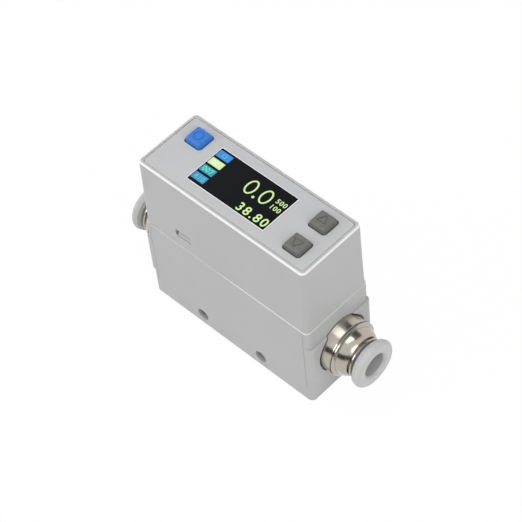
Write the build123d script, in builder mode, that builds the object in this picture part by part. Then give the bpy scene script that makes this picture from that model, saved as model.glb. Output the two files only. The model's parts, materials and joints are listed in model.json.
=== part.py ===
from math import atan2, degrees
import os

from build123d import *

os.makedirs("parts", exist_ok=True)

# Thermal mass flow meter with two push-in tube ports, in millimetres.
# X runs along the flow, from the inlet (-X) to the outlet (+X). Z points up out
# of the display face. The origin is the middle of the base's underside.

# Housing
housing_length = 50.8
housing_width = 20.0
housing_height = 46.0
parting_height = 25.4
corner_radius = 1.3
wall = 1.4
floor_thickness = 1.6
tray_height = 4.5
end_plate_thickness = 1.5
seam_gap = 0.1
bottom_chamfer = 0.3

# Upper cover, drafted towards the display face
cover_inset_x = 0.2
cover_inset_y = 0.25
cover_draft_x = 0.1
cover_draft_y = 0.4
rim_width = 0.85
rim_radius = 0.55
top_wall = 1.2
setback = 0.45
ledge_height = 7.5

# Inset panel and display window
panel_thickness = 0.8
panel_gap = 0.12
panel_corner_radius = 0.9
window_length = 23.0
window_width = 11.3
window_x = -1.45
window_y = -0.05
window_gap = 0.08
window_ledge = 0.6
window_corner_radius = 0.25

# Keys
key_size = 4.7
key_corner_radius = 0.6
key_gap = 0.25
key_height = 1.2
key_top_inset = 0.25
key_top_radius = 0.35
key_flange_lip = 0.6
key_flange_thickness = 0.6
key_play = 0.1
key_stem_radius = 1.0
key_stem_length = 0.4
key_travel = 0.3
key_mark_depth = 0.15
key_mark_line = 0.32
key_mark_size = 2.6
arrow_mark_radius = 1.7
select_offset = -0.26
arrow_offset = 1.61
key_row_offset = 0.28

# Display, boards and switches
display_border_x = 1.5
display_border_y = 0.5
display_thickness = 2.4
carrier_thickness = 0.9
carrier_rail = 1.6
board_thickness = 1.2
board_side_gap = 0.2
main_board_end_gap = 1.2
switch_size = 4.4
switch_height = 1.5
plunger_radius = 0.9
switch_clearance = 0.05

# Flow block, sensor port and screens
port_height = 13.7
block_bottom = 6.8
block_top = 20.4
block_side_gap = 1.2
passage_radius = 2.5
boss_proud = 0.75
boss_bottom = 8.2
boss_top = 19.8
boss_edge_radius = 0.55
socket_radius = 6.0
socket_depth = 12.15
flange_pocket_depth = 0.8
flange_pocket_gap = 0.25
screen_radius = 4.2
screen_thickness = 1.0
screen_gap = 0.05
screen_cell_radius = 0.85
screen_pitch = 1.75
screen_cells = 3
sensor_port_length = 6.4
sensor_port_width = 4.4
gasket_width = 1.2
gasket_thickness = 0.6
chip_gap = 0.4
chip_height = 1.4
sensor_board_end_gap = 10.4
sensor_board_inset = 0.9
sensor_screw_inset = 3.5
sensor_screw_radius = 0.8
sensor_screw_head_radius = 1.7
sensor_screw_head = 1.2
sensor_screw_grip = 2.6

# Push-in fittings
fitting_clearance = 0.15
plug_chamfer = 0.4
o_ring_setback = 1.4
o_ring_groove_width = 1.9
o_ring_groove_radius = 4.6
o_ring_squeeze = 0.02
o_ring_sides = 8
clip_setback = 5.0
clip_groove_radius = 4.9
clip_thickness = 1.0
clip_gap = 0.1
clip_reach = 4.1
clip_half_width = 6.8
tube_radius = 3.0
tube_clearance = 0.1
through_radius = 2.4
tube_seat_length = 6.7
seal_seat_radius = 4.3
seal_seat_length = 2.3
seal_lip = 0.4
seal_squeeze = 0.1
chamber_radius = 4.5
flange_radius = 7.2
flange_rim = 0.3
cone_proud = 2.1
cone_radius = 6.72
ridge_radius = 7.05
ridge_width = 0.3
groove_radius = 6.6
groove_width = 0.3
valley_radius = 6.25
valley_run = 0.25
barrel_length = 2.5
barrel_end_radius = 5.2
barrel_bulge = 0.22

# Guide ring, collet and release ring
guide_clearance = 0.05
guide_wall = 0.35
guide_length = 2.3
lip_gap = 0.45
lip_thickness = 0.5
lip_radius = 5.1
lip_edge_chamfer = 0.15
ring_travel = 0.5
ring_stop_gap = 0.1
ring_slide_clearance = 0.05
ring_length = 2.5
ring_radius = 6.15
ring_mouth_chamfer = 0.5
ring_back_run = 0.45
ring_back_drop = 0.3
ring_rim_run = 1.4
ring_front_run = 0.4
ring_front_drop = 0.2
ring_face_drop = 0.75
neck_chamfer = 0.35
neck_release_gap = 0.3
neck_beyond_guide = 0.2
collet_length = 1.6
collet_gap = 0.1
collet_slot = 0.6
collet_slots = 6
collet_bite = 0.05
collet_ramp = 0.35

# Mounting holes, screws and snap hooks
mount_hole_radius = 1.65
mount_hole_spacing = 18.6
mount_hole_height = 3.4
mount_boss_radius = 3.2
base_screw_inset = 2.6
base_screw_radius = 1.0
base_screw_head_radius = 2.1
base_screw_head = 1.5
base_screw_grip = 4.2
base_boss_radius = 3.1
screw_gap = 0.1
screw_slot_length = 3.2
screw_slot_width = 0.5
screw_slot_depth = 0.5
hook_x = -12.6
hook_window_length = 4.8
hook_window_height = 2.0
hook_window_bottom = 28.4
hook_width = 3.8
hook_clearance = 0.1
hook_shift = 0.3
hook_reach = 1.3
hook_flat = 1.0
tongue_length = 8.0
tongue_thickness = 1.1
tongue_gap = 0.12
tongue_above_window = 1.0

# Cover seal, connector and inner electronics
seal_groove_width = 0.5
seal_groove_depth = 0.6
seal_clearance = 0.05
seal_edge = 0.2
connector_side_room = 1.65
connector_height = 4.6
connector_depth = 8.5
connector_wall = 0.8
connector_floor = 1.6
connector_gap = 0.1
connector_recess = 0.15
connector_ear = 0.8
connector_ear_thickness = 1.0
pin_count = 5
pin_margin = 1.5
pin_size = 0.5
pin_recess = 1.8
pin_hole_radius = 0.45
connector_board_gap = 1.0
signal_board_gap = 1.75
processor_size = 7.0
processor_height = 1.0
coil_size = 6.0
coil_height = 3.0
coil_corner = 1.0
component_spacing = 9.6
capacitor_radius = 2.2
capacitor_height = 5.4
capacitor_pitch = 5.0

# Heights and places that follow from the sizes above
port_axis = Axis((0, 0, port_height), (1, 0, 0))
half_length = housing_length / 2
half_width = housing_width / 2
panel_bottom = housing_height - panel_thickness
ceiling = panel_bottom - top_wall
cover_base_length = housing_length - 2 * cover_inset_x
cover_base_width = housing_width - 2 * cover_inset_y
cover_top_length = cover_base_length - 2 * cover_draft_x
cover_top_width = cover_base_width - 2 * cover_draft_y
panel_length = cover_top_length - 2 * rim_width - 2 * panel_gap
panel_width = cover_top_width - 2 * rim_width - 2 * panel_gap
plate_inner = half_length - end_plate_thickness
key_hole = key_size + 2 * key_gap
key_flange_top = ceiling - key_play
key_stem_end = key_flange_top - key_flange_thickness - key_stem_length
plunger_top = key_stem_end - key_travel - switch_clearance
display_length = window_length + 2 * display_border_x
display_width = window_width + 2 * display_border_y
carrier_top = ceiling - display_thickness
main_board_top = carrier_top - carrier_thickness
main_board_bottom = main_board_top - board_thickness
main_board_length = cover_top_length - 2 * wall - 2 * main_board_end_gap
main_board_width = cover_top_width - 2 * wall - 2 * board_side_gap
setback_height = housing_height - ledge_height
block_width = housing_width - 2 * wall - 2 * block_side_gap
sensor_board_length = housing_length - 2 * sensor_board_end_gap
sensor_board_width = block_width - 2 * sensor_board_inset
sensor_screw_x = sensor_board_length / 2 - sensor_screw_inset
base_screw_y = block_width / 2 - base_screw_inset
signal_board_y = cover_top_width / 2 - wall - signal_board_gap - board_thickness
connector_width = cover_top_width - 2 * wall - 2 * connector_side_room
pin_pitch = (connector_width - 2 * connector_wall - 2 * pin_margin) / (pin_count - 1)
connector_z = (parting_height + main_board_bottom) / 2
sensor_board_bottom = block_top + gasket_thickness
sensor_board_top = sensor_board_bottom + board_thickness
select_x = (window_x - window_length / 2 - panel_length / 2) / 2 + select_offset
arrow_x = (window_x + window_length / 2 + panel_length / 2) / 2 + arrow_offset
key_y = (panel_width / 2 - key_row_offset) / 2
keys = [
    ("select", select_x, key_y),
    ("up", arrow_x, key_y),
    ("down", arrow_x, -key_y),
]
ends = [("inlet", -1), ("outlet", 1)]
hooks = [(hook_x, -1), (-hook_x, 1)]
mount_holes = [-mount_hole_spacing / 2, mount_hole_spacing / 2]

# Upper cover: a drafted shell, open below, with the panel recess, the key and
# display openings, the connector opening and two snap windows
cover_end = cover_base_length / 2
seal_half_x = cover_end - setback - seal_edge - seal_groove_width / 2
seal_half_y = cover_base_width / 2 - wall / 2
connector_face = -cover_end + setback + connector_recess
with BuildPart() as cover:
    with BuildSketch(Plane.XY.offset(parting_height)):
        RectangleRounded(cover_base_length, cover_base_width, corner_radius)
    with BuildSketch(Plane.XY.offset(housing_height)):
        RectangleRounded(cover_top_length, cover_top_width, corner_radius)
    loft()
    fillet(cover.faces().sort_by(Axis.Z)[-1].edges(), rim_radius)
    with BuildSketch(Plane.XY.offset(parting_height)):
        Rectangle(cover_base_length - 2 * wall, cover_base_width - 2 * wall)
    with BuildSketch(Plane.XY.offset(ceiling)):
        Rectangle(cover_top_length - 2 * wall, cover_top_width - 2 * wall)
    loft(mode=Mode.SUBTRACT)
    with BuildSketch(Plane.XY.offset(panel_bottom)):
        RectangleRounded(
            cover_top_length - 2 * rim_width, cover_top_width - 2 * rim_width, panel_corner_radius
        )
    extrude(amount=panel_thickness, mode=Mode.SUBTRACT)
    with BuildSketch(Plane.XY.offset(ceiling)):
        with Locations((window_x, window_y)):
            Rectangle(window_length - 2 * window_ledge, window_width - 2 * window_ledge)
        with Locations([(x, y) for _, x, y in keys]):
            RectangleRounded(key_hole, key_hole, key_corner_radius + key_gap)
    extrude(amount=top_wall, mode=Mode.SUBTRACT)
    # The connector end is set back below its ledge
    with BuildSketch(Plane.XY.offset(parting_height)):
        with Locations((-cover_end, 0)):
            Rectangle(2 * setback, housing_width)
    extrude(amount=setback_height - parting_height, mode=Mode.SUBTRACT)
    with BuildSketch(Plane.YZ.offset(-cover_end - wall)):
        with Locations((0, connector_z)):
            Rectangle(connector_width + 2 * connector_gap, connector_height + 2 * connector_gap)
    extrude(amount=3 * wall, mode=Mode.SUBTRACT)
    # Snap windows in the two long walls
    for x, side in hooks:
        with BuildSketch(Plane.XZ.offset(-side * (half_width - 2 * wall))):
            with Locations((x, hook_window_bottom + hook_window_height / 2)):
                Rectangle(hook_window_length, hook_window_height)
        extrude(amount=-side * 3 * wall, mode=Mode.SUBTRACT)
    # Groove for the seal in the lower edge
    with BuildSketch(Plane.XY.offset(parting_height)):
        Rectangle(2 * seal_half_x + seal_groove_width, 2 * seal_half_y + seal_groove_width)
        Rectangle(
            2 * seal_half_x - seal_groove_width,
            2 * seal_half_y - seal_groove_width,
            mode=Mode.SUBTRACT,
        )
    extrude(amount=seal_groove_depth, mode=Mode.SUBTRACT)
cover.part.label = "cover"
export_step(cover.part, "parts/cover.step")

# Inset panel that carries the window and lets the keys through
with BuildPart() as top_panel:
    with BuildSketch(Plane.XY.offset(panel_bottom)):
        RectangleRounded(panel_length, panel_width, panel_corner_radius - panel_gap)
        with Locations((window_x, window_y)):
            RectangleRounded(
                window_length + 2 * window_gap,
                window_width + 2 * window_gap,
                window_corner_radius + window_gap,
                mode=Mode.SUBTRACT,
            )
        with Locations([(x, y) for _, x, y in keys]):
            RectangleRounded(
                key_hole, key_hole, key_corner_radius + key_gap, mode=Mode.SUBTRACT
            )
    extrude(amount=panel_thickness)
    panel_outline = top_panel.faces().sort_by(Axis.Z)[-1].outer_wire().edges()
    chamfer(panel_outline, panel_gap)
top_panel.part.label = "top_panel"
export_step(top_panel.part, "parts/top_panel.step")

# Tinted window, flush with the panel
with BuildPart() as display_window:
    with BuildSketch(Plane.XY.offset(panel_bottom)):
        with Locations((window_x, window_y)):
            RectangleRounded(window_length, window_width, window_corner_radius)
    extrude(amount=panel_thickness)
display_window.part.label = "display_window"
export_step(display_window.part, "parts/display_window.step")

# Display module below the window, and the carrier that lifts it off the board
with BuildPart() as display_module:
    with BuildSketch(Plane.XY.offset(carrier_top)):
        with Locations((window_x, window_y)):
            Rectangle(display_length, display_width)
    extrude(amount=display_thickness)
display_module.part.label = "display_module"
export_step(display_module.part, "parts/display_module.step")

with BuildPart() as display_carrier:
    with BuildSketch(Plane.XY.offset(main_board_top)):
        with Locations((window_x, window_y)):
            Rectangle(display_length, display_width)
            Rectangle(
                display_length - 2 * carrier_rail,
                display_width - 2 * carrier_rail,
                mode=Mode.SUBTRACT,
            )
    extrude(amount=carrier_thickness)
display_carrier.part.label = "display_carrier"
export_step(display_carrier.part, "parts/display_carrier.step")

# Keys: a tapered cap with a softened top, a retaining flange under the cover
# and a stem over its switch. The caps carry an engraved ring or triangle.
key_taper = degrees(atan2(key_top_inset, key_height))
key_top = housing_height + key_height
flange_bottom = key_flange_top - key_flange_thickness
for name, x, y in keys:
    with BuildPart() as button:
        with BuildSketch(Plane.XY.offset(flange_bottom)):
            with Locations((x, y)):
                RectangleRounded(key_size, key_size, key_corner_radius)
        extrude(amount=housing_height - flange_bottom)
        with BuildSketch(Plane.XY.offset(housing_height)):
            with Locations((x, y)):
                RectangleRounded(key_size, key_size, key_corner_radius)
        extrude(amount=key_height, taper=key_taper)
        fillet(button.faces().sort_by(Axis.Z)[-1].edges(), key_top_radius)
        with BuildSketch(Plane.XY.offset(flange_bottom)):
            with Locations((x, y)):
                Rectangle(key_hole + 2 * key_flange_lip - key_gap, key_hole)
        extrude(amount=key_flange_thickness)
        with BuildSketch(Plane.XY.offset(key_stem_end)):
            with Locations((x, y)):
                Circle(key_stem_radius)
        extrude(amount=key_stem_length)
        with BuildSketch(Plane.XY.offset(key_top)):
            with Locations((x, y)):
                if name == "select":
                    Circle(key_mark_size / 2)
                    Circle(key_mark_size / 2 - key_mark_line, mode=Mode.SUBTRACT)
                else:
                    turn = 90 if name == "up" else -90
                    RegularPolygon(arrow_mark_radius, 3, rotation=turn)
                    RegularPolygon(
                        arrow_mark_radius - 2 * key_mark_line, 3, rotation=turn, mode=Mode.SUBTRACT
                    )
        extrude(amount=-key_mark_depth, mode=Mode.SUBTRACT)
    button.part.label = f"{name}_button"
    export_step(button.part, f"parts/{name}_button.step")

    # Tactile switch under the key
    with BuildPart() as switch:
        with BuildSketch(Plane.XY.offset(main_board_top)):
            with Locations((x, y)):
                Rectangle(switch_size, switch_size)
        extrude(amount=switch_height)
        with BuildSketch(Plane.XY.offset(main_board_top + switch_height)):
            with Locations((x, y)):
                Circle(plunger_radius)
        extrude(amount=plunger_top - main_board_top - switch_height)
    switch.part.label = f"{name}_switch"
    export_step(switch.part, f"parts/{name}_switch.step")

# Main board under the display
with BuildPart() as main_board:
    with BuildSketch(Plane.XY.offset(main_board_bottom)):
        Rectangle(main_board_length, main_board_width)
    extrude(amount=board_thickness)
main_board.part.label = "main_board"
export_step(main_board.part, "parts/main_board.step")

# Base shell: a tray with two long walls, cross bosses for the mounting holes,
# screw bosses and two snap tongues
tongue_outer = cover_base_width / 2 - wall - tongue_gap
tongue_top = hook_window_bottom + hook_window_height + tongue_above_window
tongue_inner = tongue_outer - tongue_thickness
tongue_root = half_width - wall / 2
hook_bottom = hook_window_bottom + hook_clearance
hook_height = hook_window_height - 2 * hook_clearance
inner_half_width = half_width - wall
with BuildPart() as base_shell:
    with BuildSketch():
        RectangleRounded(housing_length, housing_width, corner_radius)
    extrude(amount=parting_height)
    chamfer(base_shell.faces().sort_by(Axis.Z)[0].edges(), bottom_chamfer)
    with BuildSketch(Plane.XY.offset(floor_thickness)):
        Rectangle(2 * (half_length - wall), 2 * inner_half_width)
    extrude(amount=parting_height, mode=Mode.SUBTRACT)
    with BuildSketch(Plane.XY.offset(tray_height)):
        for _, side in ends:
            with Locations((side * half_length, 0)):
                Rectangle(2 * (end_plate_thickness + seam_gap), 2 * housing_width)
    extrude(amount=parting_height, mode=Mode.SUBTRACT)
    # Cross bosses and the holes through them
    with BuildSketch(Plane.XZ.offset(-inner_half_width)):
        with Locations([(x, mount_hole_height) for x in mount_holes]):
            Circle(mount_boss_radius)
    extrude(amount=2 * inner_half_width)
    with BuildSketch(Plane.XZ.offset(-half_width)):
        with Locations([(x, mount_hole_height) for x in mount_holes]):
            Circle(mount_hole_radius)
    extrude(amount=housing_width, mode=Mode.SUBTRACT)
    # Bosses for the two screws from below
    with BuildSketch(Plane.XY.offset(floor_thickness)):
        with Locations((0, base_screw_y), (0, -base_screw_y)):
            Circle(base_boss_radius)
    extrude(amount=block_bottom - floor_thickness)
    with Locations((0, base_screw_y, 0), (0, -base_screw_y, 0)):
        CounterBoreHole(
            radius=base_screw_radius + screw_gap,
            counter_bore_radius=base_screw_head_radius + screw_gap,
            counter_bore_depth=base_screw_head + 2 * screw_gap,
            depth=block_bottom,
        )
    # Snap tongues with a flat catch below and a ramp above
    for x, side in hooks:
        with BuildSketch(Plane.XY.offset(block_top + tongue_gap)):
            with Locations((x, side * (tongue_outer - tongue_thickness / 2))):
                Rectangle(tongue_length, tongue_thickness)
        extrude(amount=tongue_top - block_top - tongue_gap)
        with BuildSketch(Plane.XY.offset(block_top + tongue_gap)):
            with Locations((x, side * (tongue_inner + tongue_root) / 2)):
                Rectangle(tongue_length, tongue_root - tongue_inner)
        extrude(amount=parting_height - block_top - tongue_gap)
        with BuildSketch(Plane.YZ.offset(x - hook_width / 2 + hook_shift)):
            with BuildLine():
                Polyline(
                    (side * (tongue_outer - tongue_thickness / 2), hook_bottom),
                    (side * (tongue_outer + hook_reach), hook_bottom),
                    (side * (tongue_outer + hook_reach), hook_bottom + hook_flat),
                    (side * tongue_outer, hook_bottom + hook_height),
                    (side * (tongue_outer - tongue_thickness / 2), hook_bottom + hook_height),
                    close=True,
                )
            make_face()
        extrude(amount=hook_width)
base_shell.part.label = "base_shell"
export_step(base_shell.part, "parts/base_shell.step")

# Two pan-head screws that hold the flow block down, driven from below
with BuildPart() as base_screws:
    for side in (-1, 1):
        with BuildSketch(Plane.XY.offset(screw_gap)):
            with Locations((0, side * base_screw_y)):
                Circle(base_screw_head_radius)
        extrude(amount=base_screw_head + screw_gap)
        with BuildSketch(Plane.XY.offset(base_screw_head)):
            with Locations((0, side * base_screw_y)):
                Circle(base_screw_radius)
        extrude(amount=block_bottom + base_screw_grip - base_screw_head)
    with BuildSketch(Plane.XY.offset(screw_gap)):
        with Locations((0, base_screw_y), (0, -base_screw_y)):
            Rectangle(screw_slot_length, screw_slot_width)
            Rectangle(screw_slot_width, screw_slot_length)
    extrude(amount=screw_slot_depth, mode=Mode.SUBTRACT)
base_screws.part.label = "base_screws"
export_step(base_screws.part, "parts/base_screws.step")

# Flow block: the core with its passage and sensor port, and the end plates
# with the port bosses, sockets and flange pockets
boss_end = half_length + boss_proud
socket_end = boss_end - socket_depth
clip_groove_start = socket_end + clip_setback
fitting_start = socket_end + fitting_clearance
clip_slot = clip_thickness + 2 * clip_gap
with BuildPart() as port_bosses:
    with BuildSketch(Plane.XY.offset(boss_bottom)):
        RectangleRounded(2 * boss_end, housing_width, corner_radius)
    extrude(amount=boss_top - boss_bottom)
    with BuildSketch(Plane.XZ):
        with Locations((0, (boss_bottom + boss_top) / 2)):
            RectangleRounded(2 * boss_end, boss_top - boss_bottom, boss_edge_radius)
    extrude(amount=half_width, both=True, mode=Mode.INTERSECT)

with BuildPart() as flow_block:
    with BuildSketch(Plane.XY.offset(tray_height)):
        RectangleRounded(housing_length, housing_width, corner_radius)
    extrude(amount=parting_height - tray_height)
    add(port_bosses.part)
    with BuildSketch(Plane.XY.offset(tray_height)):
        Rectangle(2 * plate_inner, 2 * housing_width)
    extrude(amount=parting_height, mode=Mode.SUBTRACT)
    with BuildSketch(Plane.XY.offset(block_bottom)):
        Rectangle(2 * plate_inner, block_width)
    extrude(amount=block_top - block_bottom)
    # Sockets, flange pockets, screen seats and the passage, all on the port axis
    with BuildSketch(Plane.YZ.offset(-boss_end)):
        with Locations((0, port_height)):
            Circle(passage_radius)
    extrude(amount=2 * boss_end, mode=Mode.SUBTRACT)
    for _, side in ends:
        with BuildSketch(Plane.YZ.offset(side * (socket_end - screen_thickness))):
            with Locations((0, port_height)):
                Circle(screen_radius)
        extrude(amount=side * screen_thickness, mode=Mode.SUBTRACT)
        with BuildSketch(Plane.YZ.offset(side * socket_end)):
            with Locations((0, port_height)):
                Circle(socket_radius)
        extrude(amount=side * (boss_end - socket_end), mode=Mode.SUBTRACT)
        with BuildSketch(Plane.YZ.offset(side * boss_end)):
            with Locations((0, port_height)):
                Circle(flange_radius + flange_pocket_gap)
        extrude(amount=-side * flange_pocket_depth, mode=Mode.SUBTRACT)
        # Slot for the retaining clip, open below
        with BuildSketch(Plane.YZ.offset(side * clip_groove_start)):
            with Locations((0, (block_bottom + port_height + clip_reach + clip_gap) / 2)):
                Rectangle(
                    2 * (clip_half_width + clip_gap),
                    port_height + clip_reach + clip_gap - block_bottom,
                )
        extrude(amount=side * clip_slot, mode=Mode.SUBTRACT)
    # Sensor port and the pilot holes for the board and base screws
    with BuildSketch(Plane.XY.offset(port_height)):
        Rectangle(sensor_port_length, sensor_port_width)
    extrude(amount=block_top - port_height, mode=Mode.SUBTRACT)
    with BuildSketch(Plane.XY.offset(block_top)):
        with Locations((sensor_screw_x, 0), (-sensor_screw_x, 0)):
            Circle(sensor_screw_radius + screw_gap / 2)
    extrude(amount=-sensor_screw_grip - screw_gap, mode=Mode.SUBTRACT)
    with BuildSketch(Plane.XY.offset(block_bottom)):
        with Locations((0, base_screw_y), (0, -base_screw_y)):
            Circle(base_screw_radius + screw_gap / 2)
    extrude(amount=base_screw_grip + screw_gap, mode=Mode.SUBTRACT)
flow_block.part.label = "flow_block"
export_step(flow_block.part, "parts/flow_block.step")

# The pieces of each port, turned about the port axis. Profiles are pairs of a
# distance from the middle of the meter and a radius.
plug_radius = socket_radius - fitting_clearance
tube_bore_radius = tube_radius + tube_clearance
seal_bore_radius = tube_radius - seal_squeeze
collet_bore_radius = tube_radius - collet_bite
o_ring_groove_start = socket_end + o_ring_setback
o_ring_groove_end = o_ring_groove_start + o_ring_groove_width
clip_groove_end = clip_groove_start + clip_slot
flange_start = boss_end - flange_pocket_depth
cone_end = boss_end + cone_proud
ridges_start = cone_end + ridge_width / 2
groove_start = ridges_start + ridge_width
groove_end = groove_start + groove_width
barrel_start = groove_end + ridge_width + valley_run
barrel_end = barrel_start + barrel_length
sleeve_radius = chamber_radius - guide_clearance
slide_radius = sleeve_radius - guide_wall
neck_radius = slide_radius - ring_slide_clearance
lip_start = barrel_end + lip_gap
lip_end = lip_start + lip_thickness
sleeve_start = lip_start - guide_length
ring_start = lip_end + ring_travel + ring_stop_gap
ring_end = ring_start + ring_length
rim_mid = ring_start + ring_rim_run
neck_end = sleeve_start - neck_beyond_guide
collet_end = neck_end - ring_travel - neck_release_gap
collet_start = collet_end - collet_length
seal_seat_end = collet_start - collet_gap
seal_seat_start = seal_seat_end - seal_seat_length
tube_stop = seal_seat_start - tube_seat_length
fitting_profile = [
    (fitting_start, through_radius),
    (fitting_start, plug_radius - plug_chamfer),
    (fitting_start + plug_chamfer, plug_radius),
    (o_ring_groove_start, plug_radius),
    (o_ring_groove_start, o_ring_groove_radius),
    (o_ring_groove_end, o_ring_groove_radius),
    (o_ring_groove_end, plug_radius),
    (clip_groove_start, plug_radius),
    (clip_groove_start, clip_groove_radius),
    (clip_groove_end, clip_groove_radius),
    (clip_groove_end, plug_radius),
    (flange_start, plug_radius),
    (flange_start, flange_radius),
    (flange_start + flange_rim, flange_radius),
    (cone_end, cone_radius),
    (ridges_start, ridge_radius),
    (groove_start, ridge_radius),
    (groove_start, groove_radius),
    (groove_end, groove_radius),
    (groove_end, ridge_radius),
    (groove_end + ridge_width, ridge_radius),
    (barrel_start, valley_radius),
]
bore_profile = [
    (barrel_end, chamber_radius),
    (seal_seat_end, chamber_radius),
    (seal_seat_end, seal_seat_radius),
    (seal_seat_start, seal_seat_radius),
    (seal_seat_start, tube_bore_radius),
    (tube_stop, tube_bore_radius),
    (tube_stop, through_radius),
]
release_profile = [
    (neck_end, tube_bore_radius),
    (neck_end, neck_radius - neck_chamfer),
    (neck_end + neck_chamfer, neck_radius),
    (ring_start, neck_radius),
    (ring_start, lip_radius),
    (ring_start + ring_back_run, ring_radius - ring_back_drop),
    (rim_mid, ring_radius),
]
for end, side in ends:
    # Nickel-plated fitting body
    with BuildPart() as fitting:
        with BuildSketch(Plane.XZ):
            with BuildLine():
                shoulder = Polyline(*[(side * x, port_height + r) for x, r in fitting_profile])
                barrel_mid = (barrel_start + barrel_end) / 2
                barrel_mid_radius = (valley_radius + barrel_end_radius) / 2 + barrel_bulge
                ThreePointArc(
                    shoulder @ 1,
                    (side * barrel_mid, port_height + barrel_mid_radius),
                    (side * barrel_end, port_height + barrel_end_radius),
                )
                Polyline(
                    (side * barrel_end, port_height + barrel_end_radius),
                    *[(side * x, port_height + r) for x, r in bore_profile],
                    shoulder @ 0,
                )
            make_face()
        revolve(axis=port_axis)
    fitting.part.label = f"{end}_fitting"
    export_step(fitting.part, f"parts/{end}_fitting.step")

    # O-ring in the plug's groove
    with BuildPart() as o_ring:
        ring_room = socket_radius - o_ring_groove_radius
        with BuildSketch(Plane.XZ):
            with Locations(
                (
                    side * (o_ring_groove_start + o_ring_groove_end) / 2,
                    port_height + o_ring_groove_radius + ring_room / 2,
                )
            ):
                RegularPolygon(ring_room / 2 - o_ring_squeeze, o_ring_sides)
        revolve(axis=port_axis)
    o_ring.part.label = f"{end}_o_ring"
    export_step(o_ring.part, f"parts/{end}_o_ring.step")

    # U-shaped retaining clip, pushed up from below into the plug's groove
    with BuildPart() as clip:
        with BuildSketch(Plane.YZ.offset(side * (clip_groove_start + clip_gap))):
            with Locations((0, (block_bottom + port_height + clip_reach) / 2)):
                Rectangle(2 * clip_half_width, port_height + clip_reach - block_bottom)
            with Locations((0, port_height)):
                Circle(clip_groove_radius + clip_gap, mode=Mode.SUBTRACT)
            with Locations((0, port_height + clip_reach)):
                Rectangle(
                    2 * (clip_groove_radius + clip_gap), 2 * clip_reach, mode=Mode.SUBTRACT
                )
        extrude(amount=side * clip_thickness)
    clip.part.label = f"{end}_clip"
    export_step(clip.part, f"parts/{end}_clip.step")

    # Honeycomb screen that steadies the flow
    with BuildPart() as screen:
        with BuildSketch(Plane.YZ.offset(side * (socket_end - screen_thickness))):
            with Locations((0, port_height)):
                Circle(screen_radius - screen_gap)
                with HexLocations(screen_pitch / 2, screen_cells, screen_cells):
                    RegularPolygon(screen_cell_radius, 6, mode=Mode.SUBTRACT)
        extrude(amount=side * screen_thickness)
    screen.part.label = f"{end}_screen"
    export_step(screen.part, f"parts/{end}_screen.step")

    # Rubber seal that grips the tube
    with BuildPart() as tube_seal:
        with BuildSketch(Plane.XZ):
            with BuildLine():
                Polyline(
                    (side * seal_seat_start, port_height + tube_bore_radius + seal_lip),
                    (side * seal_seat_start, port_height + seal_seat_radius),
                    (side * seal_seat_end, port_height + seal_seat_radius),
                    (side * (seal_seat_end - seal_lip), port_height + seal_bore_radius),
                    (side * (seal_seat_start + seal_lip), port_height + seal_bore_radius),
                    close=True,
                )
            make_face()
        revolve(axis=port_axis)
    tube_seal.part.label = f"{end}_tube_seal"
    export_step(tube_seal.part, f"parts/{end}_tube_seal.step")

    # Slotted collet whose jaws hold the tube
    with BuildPart() as collet:
        with BuildSketch(Plane.XZ):
            with BuildLine():
                Polyline(
                    (side * collet_start, port_height + collet_bore_radius),
                    (side * collet_start, port_height + sleeve_radius),
                    (side * (collet_start + collet_ramp), port_height + sleeve_radius),
                    (side * collet_end, port_height + neck_radius - neck_chamfer),
                    (side * collet_end, port_height + collet_bore_radius),
                    close=True,
                )
            make_face()
        revolve(axis=port_axis)
        with BuildSketch(Plane.YZ.offset(side * (collet_start + collet_ramp))):
            with Locations((0, port_height)):
                with PolarLocations((chamber_radius + collet_bore_radius) / 2, collet_slots):
                    Rectangle(2 * (chamber_radius - collet_bore_radius), collet_slot)
        extrude(amount=side * collet_length, mode=Mode.SUBTRACT)
    collet.part.label = f"{end}_collet"
    export_step(collet.part, f"parts/{end}_collet.step")

    # Guide ring pressed into the mouth, with a lip outside
    with BuildPart() as guide_ring:
        with BuildSketch(Plane.XZ):
            with BuildLine():
                Polyline(
                    (side * sleeve_start, port_height + slide_radius),
                    (side * sleeve_start, port_height + sleeve_radius),
                    (side * lip_start, port_height + sleeve_radius),
                    (side * lip_start, port_height + lip_radius),
                    (side * lip_end, port_height + lip_radius),
                    (side * lip_end, port_height + slide_radius),
                    close=True,
                )
            make_face()
        revolve(axis=port_axis)
        lip_edges = guide_ring.edges().filter_by(GeomType.CIRCLE).sort_by(SortBy.RADIUS)[-2:]
        chamfer(lip_edges, lip_edge_chamfer)
    guide_ring.part.label = f"{end}_guide_ring"
    export_step(guide_ring.part, f"parts/{end}_guide_ring.step")

    # Release ring: pushed in to free the tube
    with BuildPart() as release_ring:
        with BuildSketch(Plane.XZ):
            with BuildLine():
                neck = Polyline(*[(side * x, port_height + r) for x, r in release_profile])
                face_line = ThreePointArc(
                    neck @ 1,
                    (side * (ring_end - ring_front_run), port_height + ring_radius - ring_front_drop),
                    (side * ring_end, port_height + ring_radius - ring_face_drop),
                )
                Polyline(
                    face_line @ 1,
                    (side * ring_end, port_height + tube_bore_radius + ring_mouth_chamfer),
                    (side * (ring_end - ring_mouth_chamfer), port_height + tube_bore_radius),
                    neck @ 0,
                )
            make_face()
        revolve(axis=port_axis)
    release_ring.part.label = f"{end}_release_ring"
    export_step(release_ring.part, f"parts/{end}_release_ring.step")

# Flow sensor: a gasket round the port, the board, its chip and two screws
with BuildPart() as sensor_gasket:
    with BuildSketch(Plane.XY.offset(block_top)):
        Rectangle(sensor_port_length + 2 * gasket_width, sensor_port_width + 2 * gasket_width)
        Rectangle(sensor_port_length, sensor_port_width, mode=Mode.SUBTRACT)
    extrude(amount=gasket_thickness)
sensor_gasket.part.label = "sensor_gasket"
export_step(sensor_gasket.part, "parts/sensor_gasket.step")

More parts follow.
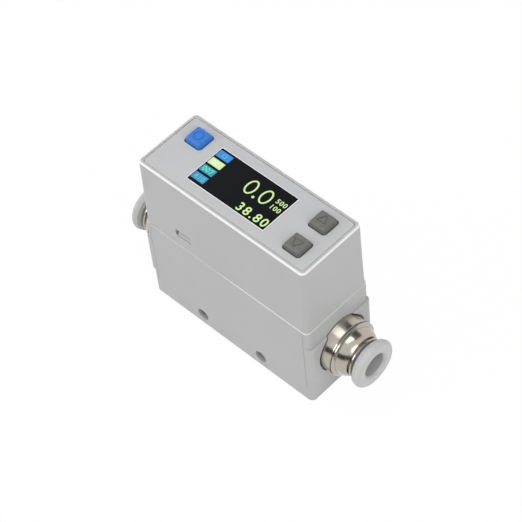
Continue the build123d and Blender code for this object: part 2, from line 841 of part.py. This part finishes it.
with BuildPart() as sensor_board:
    with BuildSketch(Plane.XY.offset(sensor_board_bottom)):
        Rectangle(sensor_board_length, sensor_board_width)
        with Locations((sensor_screw_x, 0), (-sensor_screw_x, 0)):
            Circle(sensor_screw_radius + screw_gap, mode=Mode.SUBTRACT)
    extrude(amount=board_thickness)
sensor_board.part.label = "sensor_board"
export_step(sensor_board.part, "parts/sensor_board.step")

with BuildPart() as sensor_chip:
    with BuildSketch(Plane.XY.offset(sensor_board_bottom)):
        Rectangle(sensor_port_length - 2 * chip_gap, sensor_port_width - 2 * chip_gap)
    extrude(amount=-chip_height)
sensor_chip.part.label = "sensor_chip"
export_step(sensor_chip.part, "parts/sensor_chip.step")

with BuildPart() as sensor_screws:
    with BuildSketch(Plane.XY.offset(sensor_board_top)):
        with Locations((sensor_screw_x, 0), (-sensor_screw_x, 0)):
            Circle(sensor_screw_head_radius)
    extrude(amount=sensor_screw_head)
    with BuildSketch(Plane.XY.offset(block_top - sensor_screw_grip)):
        with Locations((sensor_screw_x, 0), (-sensor_screw_x, 0)):
            Circle(sensor_screw_radius)
    extrude(amount=sensor_board_top - block_top + sensor_screw_grip)
sensor_screws.part.label = "sensor_screws"
export_step(sensor_screws.part, "parts/sensor_screws.step")

# Cover seal in the groove of the cover's lower edge
with BuildPart() as cover_seal:
    seal_width = seal_groove_width - 2 * seal_clearance
    with BuildSketch(Plane.XY.offset(parting_height)):
        Rectangle(2 * seal_half_x + seal_width, 2 * seal_half_y + seal_width)
        Rectangle(
            2 * seal_half_x - seal_width, 2 * seal_half_y - seal_width, mode=Mode.SUBTRACT
        )
    extrude(amount=seal_groove_depth - seal_clearance)
cover_seal.part.label = "cover_seal"
export_step(cover_seal.part, "parts/cover_seal.step")

# Connector in the cover's inlet end: a shrouded header, its pins and the
# upright board that joins them to the main and sensor boards
with BuildPart() as connector_shell:
    with BuildSketch(Plane.YZ.offset(connector_face)):
        with Locations((0, connector_z)):
            Rectangle(connector_width, connector_height)
    extrude(amount=connector_depth)
    with BuildSketch(Plane.YZ.offset(-cover_end + wall + connector_gap)):
        with Locations((0, connector_z)):
            Rectangle(connector_width + 2 * connector_ear, connector_height)
    extrude(amount=connector_ear_thickness)
    with BuildSketch(Plane.YZ.offset(connector_face)):
        with Locations((0, connector_z)):
            Rectangle(connector_width - 2 * connector_wall, connector_height - 2 * connector_wall)
    extrude(amount=connector_depth - connector_floor, mode=Mode.SUBTRACT)
    with BuildSketch(Plane.YZ.offset(connector_face)):
        with Locations((0, connector_z)):
            with GridLocations(pin_pitch, 0, pin_count, 1):
                Rectangle(pin_size, pin_size)
    extrude(amount=connector_depth, mode=Mode.SUBTRACT)
connector_shell.part.label = "connector_shell"
export_step(connector_shell.part, "parts/connector_shell.step")

connector_board_x = connector_face + connector_depth + connector_board_gap
with BuildPart() as connector_board:
    with BuildSketch(Plane.YZ.offset(connector_board_x)):
        with Locations((0, (sensor_board_top + main_board_bottom) / 2)):
            Rectangle(sensor_board_width, main_board_bottom - sensor_board_top)
        with Locations((0, connector_z)):
            with GridLocations(pin_pitch, 0, pin_count, 1):
                Circle(pin_hole_radius, mode=Mode.SUBTRACT)
    extrude(amount=board_thickness)
connector_board.part.label = "connector_board"
export_step(connector_board.part, "parts/connector_board.step")

with BuildPart() as connector_pins:
    with BuildSketch(Plane.YZ.offset(connector_face + pin_recess)):
        with Locations((0, connector_z)):
            with GridLocations(pin_pitch, 0, pin_count, 1):
                Rectangle(pin_size, pin_size)
    extrude(amount=connector_board_x + board_thickness + pin_size - connector_face - pin_recess)
connector_pins.part.label = "connector_pins"
export_step(connector_pins.part, "parts/connector_pins.step")

# Upright signal board with its processor, coil and capacitors
signal_start = connector_board_x + board_thickness
signal_end = cover_end - wall - board_side_gap - cover_draft_x
signal_bottom = sensor_board_top + sensor_screw_head + screw_gap
signal_middle = (signal_start + signal_end) / 2
signal_height = (signal_bottom + main_board_bottom) / 2
with BuildPart() as signal_board:
    with BuildSketch(Plane.XZ.offset(-signal_board_y)):
        with Locations((signal_middle, signal_height)):
            Rectangle(signal_end - signal_start, main_board_bottom - signal_bottom)
    extrude(amount=-board_thickness)
signal_board.part.label = "signal_board"
export_step(signal_board.part, "parts/signal_board.step")

with BuildPart() as processor_chip:
    with BuildSketch(Plane.XZ.offset(-signal_board_y)):
        with Locations((signal_middle, signal_height)):
            Rectangle(processor_size, processor_size)
    extrude(amount=processor_height)
processor_chip.part.label = "processor_chip"
export_step(processor_chip.part, "parts/processor_chip.step")

with BuildPart() as power_coil:
    with BuildSketch(Plane.XZ.offset(-signal_board_y)):
        with Locations((signal_middle + component_spacing, signal_height)):
            RectangleRounded(coil_size, coil_size, coil_corner)
    extrude(amount=coil_height)
power_coil.part.label = "power_coil"
export_step(power_coil.part, "parts/power_coil.step")

with BuildPart() as capacitors:
    with BuildSketch(Plane.XZ.offset(-signal_board_y)):
        with Locations((signal_middle - component_spacing, signal_height)):
            with GridLocations(capacitor_pitch, 0, 2, 1):
                Circle(capacitor_radius)
    extrude(amount=capacitor_height)
capacitors.part.label = "capacitors"
export_step(capacitors.part, "parts/capacitors.step")
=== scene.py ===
import json
import math

import bmesh
import bpy
from mathutils import Matrix, Vector


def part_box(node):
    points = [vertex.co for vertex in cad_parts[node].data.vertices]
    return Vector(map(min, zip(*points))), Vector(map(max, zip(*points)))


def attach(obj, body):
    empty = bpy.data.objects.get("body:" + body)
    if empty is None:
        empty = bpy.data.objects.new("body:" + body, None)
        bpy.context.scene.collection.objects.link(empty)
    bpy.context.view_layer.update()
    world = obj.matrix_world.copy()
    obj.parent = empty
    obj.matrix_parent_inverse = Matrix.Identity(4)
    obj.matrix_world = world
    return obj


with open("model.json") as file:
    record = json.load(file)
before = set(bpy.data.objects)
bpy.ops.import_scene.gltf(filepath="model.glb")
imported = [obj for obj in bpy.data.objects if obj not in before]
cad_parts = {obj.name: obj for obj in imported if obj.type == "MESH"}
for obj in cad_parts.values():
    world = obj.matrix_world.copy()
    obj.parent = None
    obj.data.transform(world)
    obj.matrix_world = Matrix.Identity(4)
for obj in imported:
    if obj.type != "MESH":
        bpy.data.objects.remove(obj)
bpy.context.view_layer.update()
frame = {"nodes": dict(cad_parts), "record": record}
print("frame loaded:", len(frame["nodes"]), "nodes")

mm = 0.001
nodes = frame["nodes"]
slotOf = {part["node"]: part["material_slot"] for part in frame["record"]["subparts"]}


# Shader maths on sockets reads as plain maths
class Flow:
    def __init__(self, finish, socket):
        self.finish = finish
        self.socket = socket

    def calc(self, operation, *others, clamp=False):
        values = dict(enumerate((self,) + others))
        return self.finish.node("ShaderNodeMath", {"operation": operation, "use_clamp": clamp}, values)

    def __add__(self, other):
        return self.calc("ADD", other)

    def __mul__(self, other):
        return self.calc("MULTIPLY", other)

    def __sub__(self, other):
        return self.calc("SUBTRACT", other)

    def __rsub__(self, other):
        return self.finish.node("ShaderNodeMath", {"operation": "SUBTRACT"}, {0: other, 1: self})

    def __gt__(self, other):
        return self.calc("GREATER_THAN", other)

    __radd__ = __add__
    __rmul__ = __mul__

    def size(self):
        return self.calc("ABSOLUTE")

    def clip(self):
        return self.calc("ADD", 0.0, clamp=True)


# One material and its nodes
class Finish:
    def __init__(self, name):
        self.material = bpy.data.materials.new(name)
        self.material.use_nodes = True
        self.tree = self.material.node_tree
        self.shader = self.tree.nodes["Principled BSDF"]

    def node(self, kind, settings=None, values=None, out=0):
        made = self.tree.nodes.new(kind)
        for key, value in (settings or {}).items():
            setattr(made, key, value)
        for key, value in (values or {}).items():
            self.feed(made.inputs[key], value)
        return Flow(self, made.outputs[out])

    def feed(self, socket, value):
        if isinstance(value, Flow):
            self.tree.links.new(value.socket, socket)
        else:
            socket.default_value = value

    def set(self, **values):
        for key, value in values.items():
            self.feed(self.shader.inputs[key.replace("_", " ")], value)

    def place(self):
        return self.node("ShaderNodeTexCoord", out="Object")

    def noise(self, scale, detail, place=None):
        values = {"Vector": place or self.place(), "Scale": scale, "Detail": detail}
        return self.node("ShaderNodeTexNoise", None, values, out="Fac")

    def blend(self, amount, first, second):
        values = {0: amount, 6: first, 7: second}
        return self.node("ShaderNodeMix", {"data_type": "RGBA"}, values, out=2)

    def axis(self, place, name):
        return self.node("ShaderNodeSeparateXYZ", None, {0: place}, out=name)

    def bump(self, height, depth, strength):
        values = {"Height": height, "Distance": depth, "Strength": strength}
        self.set(Normal=self.node("ShaderNodeBump", None, values))


def rgba(colour, factor=1.0):
    return tuple(channel * factor for channel in colour) + (1.0,)


# Moulded plastic: a fine spark-eroded grain, slow colour drift and uneven sheen; on the housing, painted
# highlights on the rim and along the joint
plasticLook = {
    "housing": {"colour": (0.50, 0.505, 0.50), "rough": 0.48, "grain": 5200, "depth": 0.010 * mm},
    "panel": {"colour": (0.54, 0.545, 0.55), "rough": 0.42, "grain": 6000, "depth": 0.006 * mm},
    "keyBlue": {"colour": (0.035, 0.20, 0.66), "rough": 0.36, "grain": 4200, "depth": 0.006 * mm},
    "keyGrey": {"colour": (0.155, 0.155, 0.145), "rough": 0.42, "grain": 4200, "depth": 0.008 * mm},
    "ring": {"colour": (0.56, 0.565, 0.56), "rough": 0.40, "grain": 3600, "depth": 0.008 * mm},
    "inner": {"colour": (0.55, 0.54, 0.50), "rough": 0.50, "grain": 4000, "depth": 0.008 * mm},
    "black": {"colour": (0.02, 0.02, 0.021), "rough": 0.50, "grain": 4000, "depth": 0.008 * mm},
    "windowEdge": {"colour": (0.90, 0.90, 0.91), "rough": 0.3, "grain": 4000, "depth": 0.004 * mm},
}
plasticWear = {"drift": 90.0, "dark": 0.965, "pale": 1.03, "sheen": 0.10, "specular": 0.42, "strength": 0.6}


def plastic(name, look, paintedRimHighlight=0.0):
    finish = Finish(name)
    place = finish.place()
    wear = plasticWear
    drift = finish.noise(wear["drift"], detail=2.0, place=place)
    fine = finish.noise(look["grain"], detail=4.0, place=place)
    colour = finish.blend(drift, rgba(look["colour"], wear["dark"]), rgba(look["colour"], wear["pale"]))
    # Painted highlight: the rim and the joint ledge are made paler in the base colour, standing in for the
    # light they catch
    if paintedRimHighlight:
        colour = finish.blend(paintedRimHighlightBand(finish, place) * paintedRimHighlight, colour, rgba(paintedHighlightLook["colour"]))
        colour = finish.blend(paintedLedgeHighlightBand(finish, place), colour, rgba(paintedHighlightLook["colour"]))
    finish.set(Base_Color=colour, Roughness=fine * wear["sheen"] + (look["rough"] - wear["sheen"] / 2),
               Specular_IOR_Level=wear["specular"])
    finish.bump(fine, look["depth"], wear["strength"])
    return finish.material


# Painted highlight: the rounded outer edge of the cover is painted paler than the walls, standing in for
# the light it catches
paintedHighlightLook = {"start": 45.42 * mm, "fade": 0.22 * mm, "end": 45.985 * mm, "endFade": 0.06 * mm,
           "colour": (0.93, 0.93, 0.93)}
# Painted highlight on the joint ledge: height, width and strength of the pale band
paintedLedgeHighlightLook = {"level": 25.4 * mm, "half": 0.07 * mm, "left": 0.30, "right": 0.62, "start": -2.0 * mm,
             "fade": 6.0 * mm}


def paintedRimHighlightBand(finish, place):
    height = finish.axis(place, "Z")
    above = ((height - paintedHighlightLook["start"]) * (1.0 / paintedHighlightLook["fade"])).clip()
    below = ((paintedHighlightLook["end"] - height) * (1.0 / paintedHighlightLook["endFade"])).clip()
    return above * below


# Painted highlight along the joint between cover and base, stronger towards the outlet; it also paints over
# the shade the joint would get
def paintedLedgeHighlightBand(finish, place):
    height = finish.axis(place, "Z")
    along = finish.axis(place, "X")
    onLedge = paintedLedgeHighlightLook["half"] - (height - paintedLedgeHighlightLook["level"]).size() > 0.0
    outlet = ((along - paintedLedgeHighlightLook["start"]) * (1.0 / paintedLedgeHighlightLook["fade"])).clip()
    share = outlet * (paintedLedgeHighlightLook["right"] - paintedLedgeHighlightLook["left"]) + paintedLedgeHighlightLook["left"]
    return onLedge * share


# Bright nickel plate, with faint turning lines round the port axis and a little haze
nickelLook = {"colour": (0.47, 0.435, 0.38), "rough": 0.21, "turning": 9000.0, "depth": 0.0025 * mm,
              "waver": 0.4, "haze": 700.0, "dark": 0.92, "pale": 1.06, "sheen": 0.10, "strength": 0.35}


def nickel(name, look):
    finish = Finish(name)
    place = finish.place()
    lines = finish.node("ShaderNodeTexWave", {"wave_type": "BANDS", "bands_direction": "X"},
                        {"Vector": place, "Scale": look["turning"] / math.tau,
                         "Distortion": look["waver"], "Detail": 1.0}, out="Fac")
    haze = finish.noise(look["haze"], detail=4.0, place=place)
    colour = finish.blend(haze, rgba(look["colour"], look["dark"]), rgba(look["colour"], look["pale"]))
    finish.set(Base_Color=colour, Metallic=1.0,
               Roughness=haze * look["sheen"] + (look["rough"] - look["sheen"] / 2))
    finish.bump(lines, look["depth"], look["strength"])
    return finish.material


# The other metals: spring and screw steel, gilt pins and a drawn can, all lightly scuffed
metalLook = {
    "steel": {"colour": (0.56, 0.56, 0.55), "rough": 0.30},
    "gold": {"colour": (0.80, 0.60, 0.28), "rough": 0.24},
    "can": {"colour": (0.68, 0.68, 0.69), "rough": 0.28},
}
metalWear = {"scuffs": 1600.0, "dark": 0.88, "pale": 1.08, "sheen": 0.16, "depth": 0.004 * mm,
             "strength": 0.5}


def metal(name, look):
    finish = Finish(name)
    place = finish.place()
    wear = metalWear
    scuffs = finish.noise(wear["scuffs"], detail=5.0, place=place)
    colour = finish.blend(scuffs, rgba(look["colour"], wear["dark"]), rgba(look["colour"], wear["pale"]))
    finish.set(Base_Color=colour, Metallic=1.0,
               Roughness=scuffs * wear["sheen"] + (look["rough"] - wear["sheen"] / 2))
    finish.bump(scuffs, wear["depth"], wear["strength"])
    return finish.material


# The tinted window: black, glossy, with faint handling marks
windowLook = {"colour": (0.0075, 0.0085, 0.010), "rough": 0.20, "smear": 260.0, "specular": 0.08,
              "dark": 0.85, "pale": 1.2, "sheen": 0.08}


def windowGloss(name, look):
    finish = Finish(name)
    smears = finish.noise(look["smear"], detail=3.0)
    colour = finish.blend(smears, rgba(look["colour"], look["dark"]), rgba(look["colour"], look["pale"]))
    finish.set(Base_Color=colour, Roughness=smears * look["sheen"] + look["rough"],
               Specular_IOR_Level=look["specular"])
    return finish.material


# Matt black rubber with a little dust
rubberLook = {"colour": (0.022, 0.022, 0.023), "rough": 0.78, "dust": 3000.0, "dark": 0.8, "pale": 1.5,
              "sheen": 0.12, "depth": 0.012 * mm, "strength": 0.6}


def rubber(name, look):
    finish = Finish(name)
    dust = finish.noise(look["dust"], detail=5.0)
    colour = finish.blend(dust, rgba(look["colour"], look["dark"]), rgba(look["colour"], look["pale"]))
    finish.set(Base_Color=colour, Roughness=dust * look["sheen"] + (look["rough"] - look["sheen"] / 2))
    finish.bump(dust, look["depth"], look["strength"])
    return finish.material


# Circuit board: green mask over faint copper tracks
boardLook = {"mask": (0.02, 0.13, 0.045), "track": (0.035, 0.20, 0.07), "pitch": 1400.0, "gap": 0.06,
             "rough": 0.32, "sheen": 0.1, "depth": 0.01 * mm, "strength": 0.4}


def circuitBoard(name, look):
    finish = Finish(name)
    place = finish.place()
    tracks = finish.node("ShaderNodeTexBrick", None,
                         {"Vector": place, "Scale": look["pitch"], "Mortar Size": look["gap"]}, out="Fac")
    finish.set(Base_Color=finish.blend(tracks, rgba(look["mask"]), rgba(look["track"])),
               Roughness=tracks * look["sheen"] + look["rough"])
    finish.bump(tracks, look["depth"], look["strength"])
    return finish.material


# Lit areas of the display: even light with the faint grid of its dots
glowLook = {"dots": 2600.0, "dim": 0.90, "unlit": (0.01, 0.01, 0.01), "rough": 0.35, "strength": 1.0}


def glow(name, colour):
    finish = Finish(name)
    dots = finish.node("ShaderNodeTexVoronoi", None,
                       {"Vector": finish.place(), "Scale": glowLook["dots"]}, out="Distance")
    lit = finish.blend(dots, rgba(colour), rgba(colour, glowLook["dim"]))
    finish.set(Base_Color=rgba(glowLook["unlit"]), Roughness=glowLook["rough"], Emission_Color=lit,
               Emission_Strength=glowLook["strength"])
    return finish.material


finishOf = {
    # The housing carries the painted highlights on its rim and joint
    "housing_plastic": plastic("mouldedHousing", plasticLook["housing"], paintedRimHighlight=0.9),
    "panel_plastic": plastic("satinPanel", plasticLook["panel"]),
    "window_plastic": windowGloss("tintedWindow", windowLook),
    "key_blue": plastic("blueKey", plasticLook["keyBlue"]),
    "key_grey": plastic("greyKey", plasticLook["keyGrey"]),
    "fitting_metal": nickel("nickelPlate", nickelLook),
    "ring_plastic": plastic("paleRing", plasticLook["ring"]),
    "rubber_black": rubber("blackRubber", rubberLook),
    "spring_steel": metal("springSteel", metalLook["steel"]),
    "screen_steel": metal("screenSteel", metalLook["steel"]),
    "screw_steel": metal("screwSteel", metalLook["steel"]),
    "circuit_board": circuitBoard("greenBoard", boardLook),
    "chip_plastic": plastic("chipBody", plasticLook["black"]),
    "display_glass": windowGloss("displayGlass", windowLook),
    "carrier_plastic": plastic("carrierPlastic", plasticLook["inner"]),
    "switch_plastic": plastic("switchBody", plasticLook["black"]),
    "connector_plastic": plastic("connectorBody", plasticLook["inner"]),
    "pin_brass": metal("goldPins", metalLook["gold"]),
    "coil_ferrite": plastic("coilFerrite", plasticLook["black"]),
    "can_aluminium": metal("capacitorCan", metalLook["can"]),
}
for nodeName, part in nodes.items():
    part.data.materials.clear()
    part.data.materials.append(finishOf[slotOf[nodeName]])
print("materials on", len(nodes), "nodes")


# Thin closed pieces that lie on the window and the panel
def addPiece(name, mesh, material):
    mesh.materials.clear()
    mesh.materials.append(material)
    piece = bpy.data.objects.new(name, mesh)
    bpy.context.scene.collection.objects.link(piece)
    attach(piece, "housing")
    return piece


def ring(form, points, level):
    return [form.verts.new((x * mm, y * mm, level * mm)) for x, y in points]


def joinRings(form, first, second):
    for step in range(len(first)):
        after = (step + 1) % len(first)
        form.faces.new((first[step], first[after], second[after], second[step]))


def closedPiece(name, form, material):
    mesh = bpy.data.meshes.new(name)
    bmesh.ops.recalc_face_normals(form, faces=form.faces)
    form.to_mesh(mesh)
    form.free()
    return addPiece(name, mesh, material)


def plate(name, outlines, low, high, material):
    form = bmesh.new()
    for outline in outlines:
        lower, upper = ring(form, outline, low), ring(form, outline, high)
        form.faces.new(lower)
        form.faces.new(upper)
        joinRings(form, lower, upper)
    return closedPiece(name, form, material)


def roundedBox(x0, y0, x1, y1, radius, steps=5):
    points = []
    for cx, cy, start in ((x1 - radius, y1 - radius, 0), (x0 + radius, y1 - radius, 90),
                          (x0 + radius, y0 + radius, 180), (x1 - radius, y0 + radius, 270)):
        for step in range(steps + 1):
            turn = math.radians(start + 90 * step / steps)
            points.append((cx + radius * math.cos(turn), cy + radius * math.sin(turn)))
    return points


# Places and sizes on the display, in millimetres
display = {
    "floor": 45.97, "top": 46.015,
    "tileLeft": -12.75, "tileRight": -8.95, "tileHeight": 2.0, "tileCorner": 0.12,
    "tileTops": (5.05, 2.42, -0.20, -2.86),
    "zeroSize": (2.75, 4.3), "zeroStroke": 0.42, "zeroCentres": ((-0.16, 1.5), (4.26, 1.46)),
    "pointCentre": (2.0, -0.35), "pointRadius": 0.36, "pointRound": 0.98, "digitShare": 0.70,
}
lit = {
    "blue": glow("litBlue", (0.012, 0.26, 0.76)),
    "lime": glow("litLime", (0.64, 0.88, 0.34)),
    "teal": glow("litTeal", (0.015, 0.28, 0.55)),
    "mint": glow("litMint", (0.08, 0.80, 0.34)),
    "cyan": glow("litCyan", (0.06, 0.52, 0.70)),
    "cream": glow("litCream", (0.86, 0.97, 0.66)),
}


def litPlate(name, outlines, colour, lift=0.0):
    return plate(name, outlines, display["floor"], display["top"] + lift, lit[colour])


for index, (top, colour) in enumerate(zip(display["tileTops"], ("blue", "lime", "teal", "teal"))):
    tile = roundedBox(display["tileLeft"], top - display["tileHeight"], display["tileRight"], top,
                      display["tileCorner"])
    litPlate(f"statusTile{index + 1}", [tile], colour)


def oval(centre, width, height, steps=40):
    turns = [math.tau * step / steps for step in range(steps)]
    return [(centre[0] + width / 2 * math.cos(turn), centre[1] + height / 2 * math.sin(turn))
            for turn in turns]


# An oval stroke between two ellipses, closed all round
def ovalStroke(name, centre, size, stroke, colour):
    form = bmesh.new()
    outer = oval(centre, size[0], size[1])
    inner = oval(centre, size[0] - 2 * stroke, size[1] - 2 * stroke)
    levels = (display["floor"], display["top"])
    rings = [ring(form, points, level) for level in levels for points in (outer, inner)]
    for first, second in ((0, 1), (2, 3), (0, 2), (1, 3)):
        joinRings(form, rings[first], rings[second])
    return closedPiece(name, form, lit[colour])


for index, centre in enumerate(display["zeroCentres"]):
    ovalStroke(f"readingZero{index + 1}", centre, display["zeroSize"], display["zeroStroke"], "lime")
pointX, pointY = display["pointCentre"]
pointR = display["pointRadius"]
litPlate("readingPoint", [roundedBox(pointX - pointR, pointY - pointR, pointX + pointR, pointY + pointR,
                                     pointR * display["pointRound"])], "lime")


# Plain numbers, set from Blender's own letterforms and turned into closed meshes
def number(name, words, centre, height, colour, weight, lift, spacing):
    curve = bpy.data.curves.new(name, "FONT")
    curve.body = words
    curve.size = height * mm / display["digitShare"]
    curve.offset = weight * mm
    curve.space_character = spacing
    curve.resolution_u = 4
    curve.extrude = (display["top"] + lift - display["floor"]) * mm / 2
    holder = bpy.data.objects.new(name + "Letters", curve)
    bpy.context.scene.collection.objects.link(holder)
    bpy.context.view_layer.update()
    mesh = bpy.data.meshes.new_from_object(holder)
    bpy.data.objects.remove(holder)
    xs = [vertex.co.x for vertex in mesh.vertices]
    ys = [vertex.co.y for vertex in mesh.vertices]
    middle = Vector(((min(xs) + max(xs)) / 2, (min(ys) + max(ys)) / 2, 0))
    level = (display["floor"] + display["top"] + lift) / 2
    mesh.transform(Matrix.Translation(Vector((centre[0] * mm, centre[1] * mm, level * mm)) - middle))
    mesh.name = name
    return addPiece(name, mesh, lit[colour])


# Name, figures, centre, height, colour, weight, lift above the display and letter spacing
numbers = [
    ("totalNumber", "38.80", (5.4, -4.0), 2.3, "lime", 0.05, 0.0, 1.22),
    ("smallNumberUpper", "500", (8.15, 2.3), 1.25, "lime", 0.03, 0.0, 1.15),
    ("smallNumberLower", "100", (8.15, 0.35), 1.25, "lime", 0.03, 0.0, 1.15),
    ("tileNumber2", "001", (-10.85, 1.42), 1.30, "cream", 0.06, 0.012, 1.10),
    ("tileNumber3", "007", (-10.85, -1.20), 1.30, "mint", 0.06, 0.012, 1.10),
    ("tileNumber4", "410", (-10.85, -3.86), 1.30, "cyan", 0.06, 0.012, 1.10),
]
for row in numbers:
    number(*row)

# An outlined box on the first tile
iconFrame = {"centre": (-10.85, 4.05), "half": (0.62, 0.5), "line": 0.17, "corner": 0.03, "lift": 0.012}
cx, cy = iconFrame["centre"]
hx, hy = iconFrame["half"]
line, corner = iconFrame["line"], iconFrame["corner"]
litPlate("tileIcon", [
    roundedBox(cx - hx, cy + hy - line, cx + hx, cy + hy, corner),
    roundedBox(cx - hx, cy - hy, cx + hx, cy - hy + line, corner),
    roundedBox(cx - hx, cy - hy + line, cx - hx + line, cy + hy - line, corner),
    roundedBox(cx + hx - line, cy - hy + line, cx + hx, cy + hy - line, corner),
], "cyan", iconFrame["lift"])

# A pale thin flat frame round the window
edge = {"low": 45.90, "high": 46.02, "width": 0.16}
(windowLow, windowHigh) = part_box("display_window")
x0, y0, x1, y1 = windowLow.x / mm, windowLow.y / mm, windowHigh.x / mm, windowHigh.y / mm
w = edge["width"]
edgeMaterial = plastic("windowEdge", plasticLook["windowEdge"])
plate("windowEdge", [
    [(x0 - w, y1), (x1 + w, y1), (x1 + w, y1 + w), (x0 - w, y1 + w)],
    [(x0 - w, y0 - w), (x1 + w, y0 - w), (x1 + w, y0), (x0 - w, y0)],
    [(x0 - w, y0), (x0, y0), (x0, y1), (x0 - w, y1)],
    [(x1, y0), (x1 + w, y0), (x1 + w, y1), (x1, y1)],
], edge["low"], edge["high"], edgeMaterial)
print("display pieces made")

# Floor, light and camera
floorLook = {"size": 3.0, "colour": (0.90, 0.90, 0.90), "whiteShare": 0.975, "rough": 0.9}


# 1 for rays that look straight, by mirror or through glass, and 0 for the rest of the light
def seenDirectly(finish):
    rays = finish.tree.nodes.new("ShaderNodeLightPath").outputs
    kinds = [Flow(finish, rays[kind]) for kind in ("Is Camera Ray", "Is Glossy Ray", "Is Transmission Ray")]
    return (kinds[0] + kinds[1] + kinds[2]).clip()


def paleFloor():
    finish = Finish("paleFloor")
    finish.set(Base_Color=rgba(floorLook["colour"]), Roughness=floorLook["rough"])
    white = finish.node("ShaderNodeEmission", None, {"Color": (1, 1, 1, 1), "Strength": 1.0})
    share = seenDirectly(finish) * floorLook["whiteShare"]
    shader = Flow(finish, finish.shader.outputs[0])
    mixed = finish.node("ShaderNodeMixShader", None, {0: share, 1: shader, 2: white})
    finish.feed(finish.tree.nodes["Material Output"].inputs["Surface"], mixed)
    return finish.material


def stageSheet(name, wide, tall, material):
    mesh = bpy.data.meshes.new(name)
    corners = [(-wide, -tall, 0), (wide, -tall, 0), (wide, tall, 0), (-wide, tall, 0)]
    mesh.from_pydata(corners, [], [(0, 1, 2, 3)])
    mesh.materials.append(material)
    sheet = bpy.data.objects.new(name, mesh)
    bpy.context.scene.collection.objects.link(sheet)
    return sheet


half = floorLook["size"] / 2
floor = stageSheet("floor", half, half, paleFloor())

# The surroundings look white but light the object less than that
worldLook = {"light": 0.54, "seen": 1.0}


class Backdrop(Finish):
    def __init__(self, name):
        world = bpy.data.worlds.new(name)
        bpy.context.scene.world = world
        world.use_nodes = True
        self.tree = world.node_tree
        self.shader = self.tree.nodes["Background"]


backdrop = Backdrop("studio")
strength = seenDirectly(backdrop) * (worldLook["seen"] - worldLook["light"]) + worldLook["light"]
backdrop.set(Color=(1, 1, 1, 1), Strength=strength)

# Dark cards out of view give the bright metal its dark bands
cards = [
    {"name": "frontCard", "place": (0.12, -0.50, 0.06), "size": (0.9, 0.30), "grey": 0.02},
    {"name": "backCard", "place": (-0.02, 0.30, 0.55), "size": (0.60, 0.42), "grey": 0.10},
    {"name": "sideCard", "place": (0.50, 0.34, 0.16), "size": (0.26, 0.30), "grey": 0.05},
]
target = Vector((0, 0, 24 * mm))
for card in cards:
    finish = Finish(card["name"])
    finish.set(Base_Color=rgba((card["grey"],) * 3), Roughness=floorLook["rough"])
    standing = stageSheet(card["name"], card["size"][0] / 2, card["size"][1] / 2, finish.material)
    standing.location = card["place"]
    standing.rotation_euler = (target - Vector(card["place"])).to_track_quat("Z", "Y").to_euler()

lamps = [
    {"name": "topSoftbox", "place": (-0.10, 0.05, 0.70), "size": 0.5, "power": 2.3},
    {"name": "endSoftbox", "place": (0.60, -0.12, 0.36), "size": 0.35, "power": 1.35},
    {"name": "frontSoftbox", "place": (-0.29, -0.44, 0.33), "size": 0.3, "power": 0.95},
]
for lamp in lamps:
    light = bpy.data.lights.new(lamp["name"], "AREA")
    light.size = lamp["size"]
    light.energy = lamp["power"]
    holder = bpy.data.objects.new(lamp["name"], light)
    holder.location = lamp["place"]
    holder.rotation_euler = (target - Vector(lamp["place"])).to_track_quat("-Z", "Y").to_euler()
    bpy.context.scene.collection.objects.link(holder)

# The photograph's own viewpoint
shot = {"azimuth": 48.752, "elevation": 51.42, "roll": -6.602, "place": (0.213561, -0.185660, 0.376123),
        "focalPixels": 1999.0, "framePixels": 522.0, "sensor": 36.0, "near": 10 * mm}
azimuth, elevation, roll = (math.radians(shot[key]) for key in ("azimuth", "elevation", "roll"))
back = Vector((math.sin(azimuth) * math.cos(elevation), -math.cos(azimuth) * math.cos(elevation),
               math.sin(elevation)))
right = Vector((0, 0, 1)).cross(back).normalized()
up = back.cross(right)
across = math.cos(roll) * right + math.sin(roll) * up
upright = -math.sin(roll) * right + math.cos(roll) * up
cameraData = bpy.data.cameras.new("camera")
cameraData.sensor_width = shot["sensor"]
cameraData.lens = shot["focalPixels"] / shot["framePixels"] * shot["sensor"]
cameraData.clip_start = shot["near"]
camera = bpy.data.objects.new("camera", cameraData)
turned = Matrix((across, upright, back)).transposed().to_4x4()
camera.matrix_world = Matrix.Translation(shot["place"]) @ turned
bpy.context.scene.collection.objects.link(camera)
bpy.context.scene.camera = camera
bpy.context.scene.view_settings.view_transform = "Standard"
print("stage, lights and camera set")
